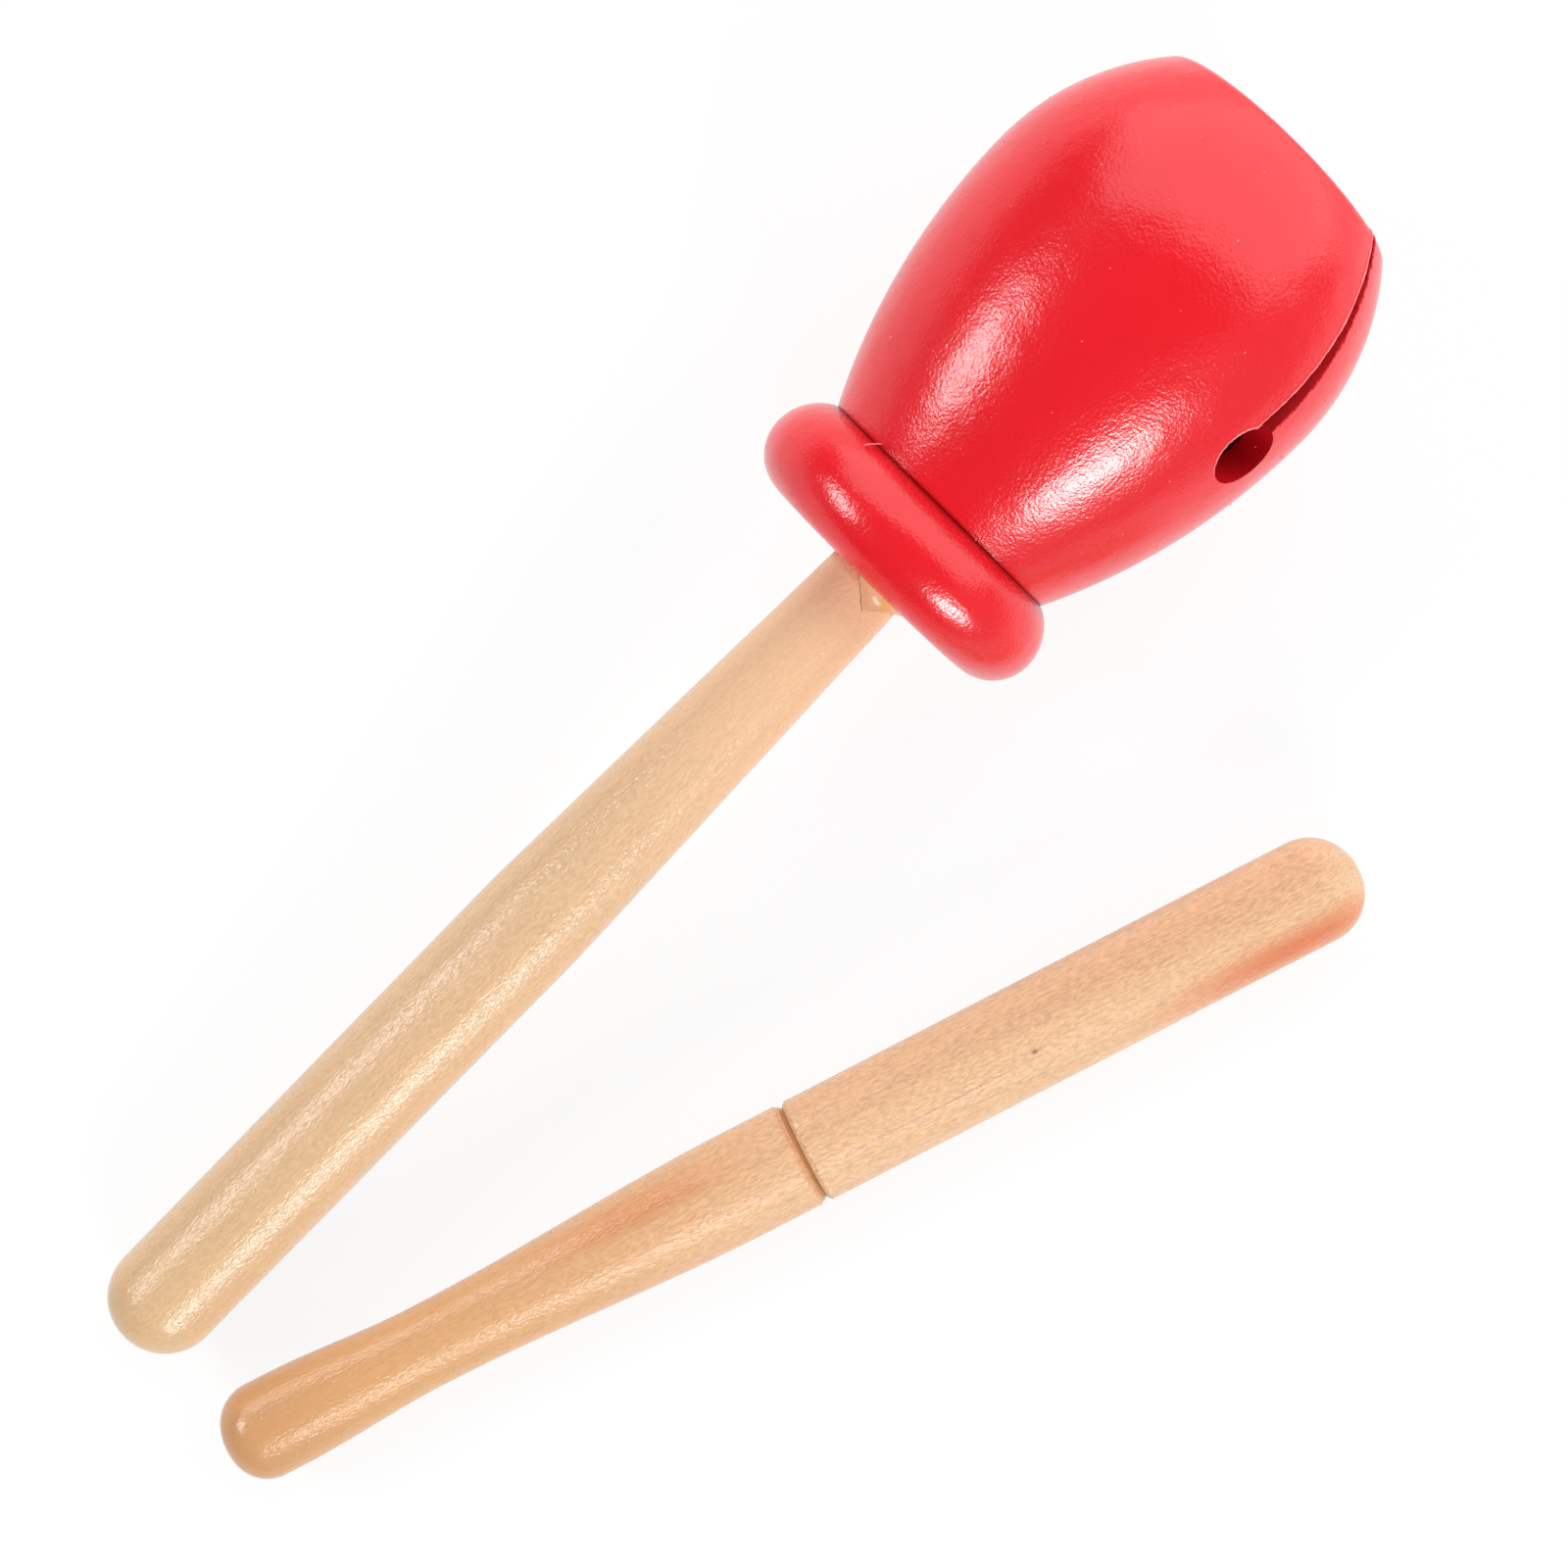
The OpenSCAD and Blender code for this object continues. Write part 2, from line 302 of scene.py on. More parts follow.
# Painted shade in the very corner, where the collar meets the bowl.
corner = add(tree, "Math", {0: climb, 1: seam_climb}, operation="SUBTRACT")
corner = add(tree, "Math", {0: corner.outputs[0]}, operation="ABSOLUTE")
corner = add(tree, "MapRange", {"Value": corner.outputs[0], "From Min": corner_half * MM,
                                "From Max": (corner_half + corner_fade) * MM, "To Min": corner_shade_share,
                                "To Max": 0.0})
grit = add(tree, "TexNoise", {"Vector": where, "Scale": per_mm(grit_size), "Detail": 1.0})
grit = add(tree, "MapRange", {"Value": grit.outputs[0], "From Min": grit_from, "From Max": grit_to})
dry = add(tree, "Math", {0: seam_band.outputs[0], 1: grit.outputs[0]}, operation="MULTIPLY")
print("dry band is", round(seam_to - seam_from, 2), "mm wide")

# %% [markdown]
# ## Walls of the saw cut
# Hardly any lacquer reaches into the cut, so its walls are rough and don't mirror the table. They lie at
# a known distance from the middle plane of the cut, past the bore, and two comparisons find them.

# %% Rough walls
cut_edge, cut_roughness = 0.04, 0.6
bore_climb = seam_climb + bore_height * MM
end_climb = seam_climb + bowl_length * MM
half = add(tree, "MapRange", {"Value": climb, "From Min": bore_climb, "From Max": end_climb,
                              "To Min": (kerf_root + cut_edge) * MM, "To Max": (kerf_tip + cut_edge) * MM})
across = add(tree, "VectorMath", {0: where, 1: kerf_side}, operation="DOT_PRODUCT")
across = add(tree, "Math", {0: across.outputs["Value"], 1: seam_point.dot(kerf_side)}, operation="SUBTRACT")
across = add(tree, "Math", {0: across.outputs[0]}, operation="ABSOLUTE")
between = add(tree, "Math", {0: across.outputs[0], 1: half.outputs["Result"]}, operation="LESS_THAN")
past = add(tree, "Math", {0: climb, 1: bore_climb}, operation="GREATER_THAN")
in_cut = add(tree, "Math", {0: between.outputs[0], 1: past.outputs[0]}, operation="MULTIPLY")
print("walls start", bore_height, "mm over the seam")

# %% [markdown]
# ## The lacquer put together
# The colour is nearly even, a shade deeper where the coat is thick, and there the gloss differs a little
# too. Nitrocellulose and acrylic lacquers both have an IOR near 1.5. A clear coat over a matt base would
# look much the same, but the real coat has its pigment in it, so one layer is enough.

# %% Sprayed red lacquer
coat_red, thick_red, dry_spray_and_shade_red, corner_shade_red = "#E01A26", "#D6141F", "#B0040E", "#8A040D"
thick_size = 9.0
gloss_thin, gloss_thick = 0.19, 0.22
dry_spray_and_shade_share, dry_sink, dry_roughness = 0.5, -0.5, 0.05
FILM_IOR = 1.5
# A noise seldom leaves this range.
NOISE_LOW, NOISE_HIGH = 0.3, 0.7
# The Mix node's sockets for two colours and the mixed one, by number.
A_COLOUR, B_COLOUR, MIXED = 6, 7, 2
skin = add(tree, "Math", {0: dry.outputs[0], 1: dry_sink, 2: skin.outputs[0]}, operation="MULTIPLY_ADD")
bump = add(tree, "Bump", {"Height": skin.outputs[0], "Distance": peel_height * MM, "Strength": 1.0})
thick = add(tree, "TexNoise", {"Vector": where, "Scale": per_mm(thick_size), "Detail": 2.0})
colour = add(tree, "Mix", {0: thick.outputs[0], A_COLOUR: linear(coat_red), B_COLOUR: linear(thick_red)},
             data_type="RGBA")
# Painted shade at the seam: darker in the dry grains, and darker still in the very corner.
dark = add(tree, "Math", {0: dry.outputs[0], 1: dry_spray_and_shade_share}, operation="MULTIPLY")
colour = add(tree, "Mix", {0: dark.outputs[0], A_COLOUR: colour.outputs[MIXED], B_COLOUR: linear(dry_spray_and_shade_red)},
             data_type="RGBA")
colour = add(tree, "Mix", {0: corner.outputs[0], A_COLOUR: colour.outputs[MIXED],
                           B_COLOUR: linear(corner_shade_red)}, data_type="RGBA")
gloss = add(tree, "MapRange", {"Value": thick.outputs[0], "From Min": NOISE_LOW, "From Max": NOISE_HIGH,
                               "To Min": gloss_thin, "To Max": gloss_thick})
gloss = add(tree, "Math", {0: dry.outputs[0], 1: dry_roughness, 2: gloss.outputs[0]},
            operation="MULTIPLY_ADD")
gloss = add(tree, "Math", {0: in_cut.outputs[0], 1: cut_roughness, 2: gloss.outputs[0]},
            operation="MULTIPLY_ADD")
surface = add(tree, "BsdfPrincipled", {"Base Color": colour.outputs[MIXED], "Roughness": gloss.outputs[0],
                                       "IOR": FILM_IOR, "Normal": bump.outputs[0]})
add(tree, "OutputMaterial", {"Surface": surface.outputs[0]})
head = [frame["nodes"]["bowl"], frame["nodes"]["collar"]]
for solid in head:
    solid.data.materials.clear()
    solid.data.materials.append(red_lacquer)
print(red_lacquer.name, "has", len(tree.nodes), "nodes")

# %% [markdown]
# ## Turned wood
# Handle and beater are turned from a pale, close-grained hardwood such as maple. Along the stick run
# growth bands, fine fibres, and the short dark flecks where rays and pores are cut. All three are one
# solid pattern that the lathe has cut into, so they are made with noise stretched along the stick, and
# the rounded ends then show end grain by themselves. The varnish is thin and follows the fibres, which
# breaks the streaks of light into sparks. Real fibres are a few hundredths of a millimetre wide, so they
# and the ripples of the varnish are drawn coarser here, or they wouldn't show.

# %% Maple
band_width, band_length = 4.0, 90.0
fibre_width, fibre_length, fibre_contrast = 0.35, 7.0, 0.05
ripple_size, ripple_height = (0.5, 1.1), 0.09
brush_size, brush_share = (0.27, 0.55), 0.75
# A varnish that has partly sunk in mirrors less than a full film, whose level is 0.5.
thin_varnish = 0.3


def maple(name, pale, warm, dash_size, dash_contrast, paint):
    """Turned maple under thin varnish, its length along Z. paint gives the last colour, gloss and depth."""
    material, tree, where = new_material(name)

    def grain(width, length, detail):
        size = (per_mm(width), per_mm(width), per_mm(length))
        along = add(tree, "Mapping", {"Vector": where, "Scale": size})
        return add(tree, "TexNoise", {"Vector": along.outputs[0], "Scale": 1.0, "Detail": detail}).outputs[0]

    def spread(value, first, last):
        return add(tree, "MapRange", {"Value": value, "From Min": NOISE_LOW, "From Max": NOISE_HIGH,
                                      "To Min": first, "To Max": last}).outputs[0]

    bands = spread(grain(band_width, band_length, 3.0), 0, 1)
    wood = add(tree, "Mix", {0: bands, A_COLOUR: linear(pale), B_COLOUR: linear(warm)}, data_type="RGBA")
    fibres = spread(grain(fibre_width, fibre_length, 2.0), 1 - fibre_contrast, 1 + fibre_contrast)
    dashes = spread(grain(*dash_size, 1.0), 1 + dash_contrast, 1 - dash_contrast)
    shade = add(tree, "Math", {0: fibres, 1: dashes}, operation="MULTIPLY")
    wood = add(tree, "VectorMath", {0: wood.outputs[MIXED], "Scale": shade.outputs[0]}, operation="SCALE")
    colour, gloss, depth = paint(tree, where, wood.outputs[0])
    ripple = add(tree, "Math", {0: grain(*brush_size, 1.0), 1: brush_share, 2: grain(*ripple_size, 1.0)},
                 operation="MULTIPLY_ADD")
    bump = add(tree, "Bump", {"Height": ripple.outputs[0], "Distance": ripple_height * MM,
                              "Strength": depth})
    surface = add(tree, "BsdfPrincipled", {"Base Color": colour, "Roughness": gloss, "IOR": FILM_IOR,
                                           "Specular IOR Level": thin_varnish, "Normal": bump.outputs[0]})
    add(tree, "OutputMaterial", {"Surface": surface.outputs[0]})
    print(name, "has", len(tree.nodes), "nodes")
    return material


# %% [markdown]
# ## The handle's wood
# The bare handle is pale. Its round end has darkened from hands, and towards the collar it is pinker, where
# red overspray was wiped off. Just before the collar a pale yellow tint is painted light: it lifts the shade
# and the red bounce that the head throws there. Each is a tint that fades along the stick. A painted texture
# could hold them, but a share that follows the height, and a colour laid over the wood by it, are enough.

# %% Varnished pale maple
end_length, end_depth = 12, 0.4
handle_gloss = 0.15
# Colours that change along the stick: the two heights in millimetres, and the share at each of them. The
# last one is painted light near the collar.
handle_tints_and_painted_light = [("#C4A074", 0, 70, 0.35, 0), ("#EDBE98", 90, 150, 0, 0.6), ("#FFE0B8", 125, 150, 0, 0.2)]


def along_stick(tree, where, start, end, first, last):
    """A value that goes from first to last between two heights along the stick, in millimetres."""
    height = add(tree, "SeparateXYZ", {"Vector": where}).outputs["Z"]
    return add(tree, "MapRange", {"Value": height, "From Min": start * MM, "From Max": end * MM,
                                  "To Min": first, "To Max": last},
               interpolation_type="SMOOTHSTEP").outputs["Result"]


def stain_along(tree, where, colour, code, start, end, first, last):
    """A colour with another laid over it, by a share that changes along the stick."""
    share = along_stick(tree, where, start, end, first, last)
    stained = add(tree, "Mix", {0: share, A_COLOUR: colour, B_COLOUR: linear(code)}, data_type="RGBA")
    return stained.outputs[MIXED]


def handle_paint(tree, where, colour):
    """Darker at the round end, where the varnish lies flatter too, pinker towards the collar, and paler just
    before it, which is painted light.
    """
    for tint in handle_tints_and_painted_light:
        colour = stain_along(tree, where, colour, *tint)
    return colour, handle_gloss, along_stick(tree, where, 0, end_length, end_depth, 1)


pale_maple = maple("varnished_pale_maple", "#D4B28E", "#CDA883", (0.34, 0.9), 0.09, handle_paint)

# %% [markdown]
# ## Turning a piece
# A turned piece is one outline, spun. Blender's Screw modifier can spin a line, but here some pieces
# aren't quite round, such as a groove with a torn edge, so the rings are made in code and a rule may
# move each point. The outline is made of arcs and straight stretches, as a turner's template is.


# %% Lathe
def arc(centre, radius, start, end, count):
    """Points of an arc, whose angles run from 0, outwards, to 90 degrees, along the axis."""
    angles = [math.radians(start + (end - start) * i / count) for i in range(count + 1)]
    return [(centre[0] + radius * math.cos(a), centre[1] + radius * math.sin(a)) for a in angles]


def straight(start, end, count):
    """Points from start towards end, without end itself."""
    return [tuple(p + (q - p) * i / count for p, q in zip(start, end)) for i in range(count)]


def turned(outline, turns, rule):
    """Rings spun from an outline of (radius, height) that starts and ends on the axis."""
    verts = [(0, 0, outline[0][1])]
    for radius, height in outline[1:-1]:
        for k in range(turns):
            a = 2 * math.pi * k / turns
            r = rule(radius, a, height)
            verts.append((r * math.cos(a), r * math.sin(a), height))
    verts.append((0, 0, outline[-1][1]))
    rings = len(outline) - 2
    faces = [(0, 1 + (k + 1) % turns, 1 + k) for k in range(turns)]
    for ring in range(rings - 1):
        low = 1 + ring * turns
        high = low + turns
        faces += [(low + k, low + (k + 1) % turns, high + (k + 1) % turns, high + k) for k in range(turns)]
    last = len(verts) - 1
    low = 1 + (rings - 1) * turns
    faces += [(last, low + k, low + (k + 1) % turns) for k in range(turns)]
    return verts, faces


def new_piece(name, verts, faces, matrix, material, body):
    """A smooth mesh object from points in millimetres, which rides on a body."""
    mesh = bpy.data.meshes.new(name)
    mesh.from_pydata([Vector(v) * MM for v in verts], [], faces)
    mesh.shade_smooth()
    mesh.materials.append(material)
    piece = bpy.data.objects.new(name, mesh)
    piece.matrix_world = matrix
    scene.collection.objects.link(piece)
    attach(piece, body)
    print(name, "has", len(faces), "faces")
    return piece


# %% [markdown]
# ## The handle
# A plain stick with a round end that tapers into the collar, where a thinner tenon goes on into the
# socket. What keeps it from looking machined is the sanding: the surface wanders by about a hundredth
# of a millimetre, which bends the streaks of light. A bump can't do that over such long waves, so the rule
# moves the points themselves.

# %% Handle
handle_r, handle_round, grip_length = 8.0, 7.5, 83.0
handle_length, neck_end_r, tenon_r, tenon_length = 147.5, 5.85, 4.5, 14.0
sanding, sanding_size = 0.015, 9.0
past_arc = 1.0
handle_turns = 160


def sanded(radius, angle, height):
    """Radius after sanding by hand."""
    place = Vector((radius * math.cos(angle), radius * math.sin(angle), height)) / sanding_size
    return radius + sanding * noise.noise(place)


tenon_end = handle_length + tenon_length
handle_outline = [(0, 0)] + arc((handle_r - handle_round, handle_round), handle_round, -90, 0, 24)
handle_outline += straight((handle_r, handle_round + past_arc), (handle_r, grip_length), 40)
handle_outline += straight((handle_r, grip_length), (neck_end_r, handle_length), 36)
handle_outline += [(neck_end_r, handle_length), (tenon_r, handle_length)]
handle_outline += [(tenon_r, tenon_end), (0, tenon_end)]
verts, faces = turned(handle_outline, handle_turns, sanded)
handle = new_piece("handle_wood", verts, faces, block_frame, pale_maple, "block")
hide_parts("handle")

# %% [markdown]
# ## The beater's wood
# The grip is handled and varnished, so it is orange and bright. Past the groove the wood is drier: its
# pores show as short dashes and the streaks of light die away. The tip has picked up red from the head,
# and the freshly torn chips at the groove are pale. All of these are places on one stick, so each is a
# soft spot with a middle and a size in millimetres.

# %% Worn warm maple
groove_height = 90.0
# Colours along the stick, as for the handle.
beater_tints = [("#CB9866", 20, 100, 0.7, 0), ("#BA875B", 0, 30, 0.55, 0)]
# A red streak, red rubbed on, a dark speck and a fine crack: each spot's middle, half sizes and share.
beater_spots = [("#C97A45", (6.5, -4.2, 66), (5, 3.4, 24), 0.7),
                ("#D0683F", (5.4, 5.3, 164), (9, 4.6, 30), 0.8),
                ("#8A5330", (7.5, 1.3, 125), (1, 0.55, 0.8), 1),
                ("#8F6038", (7.3, 2.1, 110), (1, 0.14, 22), 0.6)]
# Burnt rings in the groove: how far past its middle, half width and share. The torn edge has the same.
groove_burns = [("#C98A58", 0, 1.3, 0.8), ("#8A5A34", 0.25, 0.4, 0.7)]
torn_pale, torn_past, torn_half, torn_share = "#EFD3AE", 1.2, 0.9, 0.8
# The torn patches: their size, and the values of the noise at which they start and are full.
torn_patch, torn_from, torn_to = 1.3, 0.56, 0.68
# A half size that takes in the whole thickness of the stick.
all_round = 99
# Where the varnish of the grip ends, its gloss before and after, and how much rougher the bare wood is.
bare_from, bare_to = 55, 95
grip_gloss, bare_gloss, bare_depth = 0.175, 0.262, 1.3


def spot(tree, where, middle, half, share):
    """A share in the middle of an egg-shaped spot that fades to 0 at its edge. Sizes are in millimetres."""
    scale = [per_mm(h) for h in half]
    shift = [-m / h for m, h in zip(middle, half)]
    moved = add(tree, "Mapping", {"Vector": where, "Scale": scale, "Location": shift})
    far = add(tree, "VectorMath", {0: moved.outputs[0]}, operation="LENGTH")
    return add(tree, "MapRange", {"Value": far.outputs["Value"], "To Min": share, "To Max": 0.0},
               interpolation_type="SMOOTHSTEP").outputs["Result"]


def stain_spot(tree, where, colour, code, middle, half, share):
    """A colour with a soft spot of another laid over it."""
    share = spot(tree, where, middle, half, share)
    stained = add(tree, "Mix", {0: share, A_COLOUR: colour, B_COLOUR: linear(code)}, data_type="RGBA")
    return stained.outputs[MIXED]


def groove_paint(tree, where, colour):
    """Burnt brown in the groove, with pale torn chips along its far edge."""
    def ring(past, half):
        return (0, 0, groove_height + past), (all_round, all_round, half)

    for code, past, half, share in groove_burns:
        colour = stain_spot(tree, where, colour, code, *ring(past, half), share)
    torn = add(tree, "TexNoise", {"Vector": where, "Scale": per_mm(torn_patch), "Detail": 2.0})
    torn = add(tree, "MapRange", {"Value": torn.outputs[0], "From Min": torn_from, "From Max": torn_to})
    edge = spot(tree, where, *ring(torn_past, torn_half), torn_share)
    torn = add(tree, "Math", {0: torn.outputs["Result"], 1: edge}, operation="MULTIPLY")
    chips = add(tree, "Mix", {0: torn.outputs[0], A_COLOUR: colour, B_COLOUR: linear(torn_pale)},
                data_type="RGBA")
    return chips.outputs[MIXED]


def beater_paint(tree, where, colour):
    """Orange grip, a red streak, red rubbed on at the tip, a dark speck, a fine crack and the groove."""
    for tint in beater_tints:
        colour = stain_along(tree, where, colour, *tint)
    for mark in beater_spots:
        colour = stain_spot(tree, where, colour, *mark)
    colour = groove_paint(tree, where, colour)
    depth = add(tree, "Math", {0: along_stick(tree, where, 0, end_length, end_depth, 1),
                               1: along_stick(tree, where, bare_from, bare_to, 1, bare_depth)},
                operation="MULTIPLY")
    gloss = along_stick(tree, where, bare_from, bare_to, grip_gloss, bare_gloss)
    return colour, gloss, depth.outputs[0]


warm_maple = maple("worn_warm_maple", "#DCB58F", "#D3A67F", (0.36, 1.1), 0.13, beater_paint)

# %% [markdown]
# ## The beater
# The stick swells from a slim grip to a thick striking end, with one groove between them. The groove was
# cut with the corner of a tool: its butt side is clean and shows a second pass, and its far edge tore
# out in small chips. A boolean would leave both edges clean, so the depth of the groove is a rule over
# the distance from its middle. The chips are shallow steps past its far edge, which reach further at
# some angles than at others.

# %% Beater
beater_length, beater_r, butt_r, waist_r = 177.0, 7.6, 6.9, 5.85
butt_height, waist_height, swell_height = 8.0, 31.0, 81.0
butt_round, tip_round = 5.5, 7.2
beater_turn = 18.2
butt_point = Vector((-112.624, 5.607, 7.6)) * MM
beater_turns = 288
# The groove: its depth, half width, and the stretch that has close rings.
groove_depth, groove_half = 0.72, 0.85
groove_from, groove_to = groove_height - 1.4, groove_height + 2.2
# Its first pass ends in a ridge, and its far edge tears by chips that come in clusters.
pass_start, pass_end, pass_run, pass_depth = -0.95, -0.35, 0.55, 0.4
ridge_depth, ridge_run, floor_start, floor_end = 0.3, 0.4, 0.05, 0.1
chip_size, chip_least, chip_more = 0.6, 0.7, 3.2
chip_depth, chip_run = 0.26, 0.2
tear_size, tear_shift = 2.5, Vector((0, 0, 9.12))


def swell(start_r, start, end_r, end, count):
    """Points of a stretch that is level at both ends, without its last point."""
    return [(start_r + (end_r - start_r) * (1 - math.cos(math.pi * i / count)) / 2,
             start + (end - start) * i / count) for i in range(count)]


def smooth(value):
    """Soft step from 0 to 1."""
    value = min(1.0, max(0.0, value))
    return value * value * (3 - 2 * value)


def grooved(radius, angle, height):
    """Radius with the groove cut in: two passes on the butt's side, and a torn edge on the far side."""
    radius = sanded(radius, angle, height)
    if not groove_from <= height <= groove_to:
        return radius
    past = height - groove_height
    around = Vector((math.cos(angle), math.sin(angle), 0)) * beater_r
    chip = max(0.0, noise.noise(around / chip_size))
    tear = max(0.0, noise.noise(around / tear_size + tear_shift))
    edge = groove_half + chip * (chip_least + chip_more * tear)
    if past < pass_end:
        return radius - pass_depth * smooth((past - pass_start) / pass_run)
    if past < floor_start:
        return radius - ridge_depth - (groove_depth - ridge_depth) * smooth((past - pass_end) / ridge_run)
    wall = groove_depth * (1 - smooth((past - floor_end) / (groove_half - floor_end)))
    torn = chip_depth * smooth((edge - past) / chip_run)
    return radius - max(wall, torn)


tip_height = beater_length - tip_round
beater_outline = [(0, 0)] + arc((butt_r - butt_round, butt_round), butt_round, -90, 0, 20)
beater_outline += swell(butt_r, butt_height, waist_r, waist_height, 20)
beater_outline += swell(waist_r, waist_height, beater_r, swell_height, 30)
beater_outline += straight((beater_r, swell_height), (beater_r, groove_from), 6)
beater_outline += straight((beater_r, groove_from), (beater_r, groove_to), 45)
beater_outline += straight((beater_r, groove_to), (beater_r, tip_height - past_arc), 40)
beater_outline += arc((beater_r - tip_round, tip_height), tip_round, 0, 90, 24) + [(0, beater_length)]
beater_way = Vector((math.cos(math.radians(beater_turn)), -math.sin(math.radians(beater_turn)), 0))
beater_frame = placed(Vector((0, 0, 1)), beater_way, butt_point)
verts, faces = turned(beater_outline, beater_turns, grooved)
beater = new_piece("beater_wood", verts, faces, beater_frame, warm_maple, "beater")
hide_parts("beater")
low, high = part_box("beater")
print("solid's corners in mm:", [round(x / MM, 2) for x in low], [round(x / MM, 2) for x in high])

# %% [markdown]
# ## Lamps for single pieces
# In the photograph the beater's streaks lie nearer to its middle than the two boxes give, the handle is
# paler along its right side, and the head shines whiter. One set of lamps can't do all of that. Moving
# the pieces would spoil the view, so a few lamps keep to one piece, as flags and cards do in a studio.
# Light linking does it: a lamp lists what it lights, or what it spares. A lamp can also be kept from
# diffuse rays, so that it only shines, or from glossy ones, so that it only fills.


# %% Lamps for single pieces
def keep_to(pieces, lamp, fills):
    """Let a lamp light only the given pieces. It either fills, which is diffuse light, or only shines."""
    lamp.visible_diffuse = fills
    lamp.visible_glossy = not fills
    lit = bpy.data.collections.new("lit_by_" + lamp.name)
    for piece in pieces:
        lit.objects.link(piece)
    lamp.light_linking.receiver_collection = lit


spared = bpy.data.collections.new("spared_by_lamp_right")
spared.objects.link(beater)
spared.collection_objects[0].light_linking.link_state = "EXCLUDE"
lamp_right.light_linking.receiver_collection = spared
low_way = (-0.1, -0.95, 0.15)
box, card = (box_width, box_height), (2.4, 1.0)
# Name, what it lights, direction, brightness, size, and whether it fills.
piece_lamps = [("beater_fill", [beater], right_way, 20.0, box, True),
               ("beater_right", [beater], (-0.37, -0.6, 0.73), 15.0, box, False),
               ("beater_left", [beater], (0.05, 0.93, 0.36), 9.0, box, False),
               ("handle_fill", [handle], low_way, 0.5, card, True),
               ("handle_right", [handle], low_way, 1.0, card, False),
               ("head_left", head, left_way, 12.0, box, False),
               ("head_right", head, right_way, 25.0, box, False)]
for name, pieces, way, brightness, size, fills in piece_lamps:
    keep_to(pieces, soft_box(name, way, brightness, *size), fills)

# %% [markdown]
# ## Beads along a line
# Lips, glue lines and slivers are all thin beads that follow a path. A curve with a bevel would do, but
# their thickness changes from point to point, and a plain mesh is easier to place in the frame of the
# row: so a tube is skinned over a list of points. A ring has no ends, and the others are capped.


# %% Tube along a path
def tube(path, thick, sides, beside, ring=False):
    """Tube round the points of a path. beside is a direction that the path never takes."""
    count = len(path)
    verts = []
    for i, point in enumerate(path):
        before = path[i - 1] if ring or i > 0 else point
        after = path[(i + 1) % count] if ring or i < count - 1 else point
        ahead = (after - before).normalized()
        across = ahead.cross(beside).normalized()
        out = across.cross(ahead)
        for k in range(sides):
            a = 2 * math.pi * k / sides
            verts.append(point + (across * math.cos(a) + out * math.sin(a)) * thick[i])
    faces = []
    for i in range(count if ring else count - 1):
        low, high = i * sides, (i + 1) % count * sides
        faces += [(low + k, high + k, high + (k + 1) % sides, low + (k + 1) % sides) for k in range(sides)]
    if not ring:
        faces += [tuple(range(sides)), tuple(reversed(range(len(verts) - sides, len(verts))))]
    return verts, faces


def in_row(verts, matrix):
    """The same points in the row frame, in millimetres."""
    return [(matrix @ (Vector(v) * MM)) / MM for v in verts]


# %% [markdown]
# ## The bowl's outline
# The bowl itself stays as it was loaded. What sits on it needs its outline, though: a long flank arc up
# to the belly, a tighter crown arc, a round rim and the flat end. Reading points off the mesh would work
# as well, but two arcs are exact and short.

# %% Bowl's outline
belly_height, belly_r = 39.5, 28.2
flank_radius, crown_radius, rim_round, rim_r = 88.96, 35.0, 2.0, 18.06


def skin_bend(z):
    """Radius of the arc that the outline follows at a height over the seam."""
    return flank_radius if z < belly_height else crown_radius


def skin_r(z):
    """The bowl's outer radius at a height over the seam."""
    return belly_r - skin_bend(z) + math.sqrt(skin_bend(z) ** 2 - (z - belly_height) ** 2)


def kerf_half(z):
    """Half the width of the saw cut, which tapers to the flat end."""
    return kerf_root + (kerf_tip - kerf_root) * (z - bore_height) / (bowl_length - bore_height)


rim_start = math.degrees(math.asin((bowl_length - rim_round - belly_height) / (crown_radius - rim_round)))
rim_z = belly_height + crown_radius * math.sin(math.radians(rim_start))


def outline_over(start):
    """Points (radius, height) from a height on the skin, over the rim, towards the middle of the end."""
    points = [(skin_r(z), z) for _, z in straight((0, start), (0, rim_z), 160)]
    points += arc((rim_r, bowl_length - rim_round), rim_round, rim_start, 90, 8)
    return points + straight((rim_r, bowl_length), (0, bowl_length), 40)[1:]


print("rim starts", round(rim_z, 2), "mm over the seam, at", round(skin_r(rim_z), 2), "mm from the axis")

# %% [markdown]
# ## Painted highlight on small pieces
# The beads along the edges, the dust pimples and the sliver are too small to show the bright lines and dots
# that light draws on them. So they get a paler, cloudy pink red: a painted highlight. A finer way would
# paint the edges of the bowl's own material, but a paler red on the small pieces that stand proud gives the
# same bright line.

# %% Red lacquer with a painted highlight
fuzz_size = 0.4
highlight_red, highlight_pale, highlight_gloss = "#F0565C", "#F59A9C", 0.25
highlight_pink_lacquer, tree, where = new_material("lacquer_painted_highlight")
fuzz = add(tree, "TexNoise", {"Vector": where, "Scale": per_mm(fuzz_size), "Detail": 2.0})
colour = add(tree, "Mix", {0: fuzz.outputs[0], A_COLOUR: linear(highlight_red), B_COLOUR: linear(highlight_pale)},
             data_type="RGBA")
surface = add(tree, "BsdfPrincipled", {"Base Color": colour.outputs[MIXED], "Roughness": highlight_gloss,
                                       "IOR": FILM_IOR})
add(tree, "OutputMaterial", {"Surface": surface.outputs[0]})
print("made", highlight_pink_lacquer.name)

# %% [markdown]
# ## Lips along the saw cut and the bore
# Lacquer pulls back from a sharp edge and dries as a thick bead beside it. The upper edge of the cut is
# smooth, the lower one is ragged where the saw broke out fibres, and the bore has its bead on the upper
# side only. A bevel would round all edges alike. So a tube, half sunk in the edge, is that bead, and its
# path is the bowl's outline: it climbs from the bore over the rim and across the flat end.

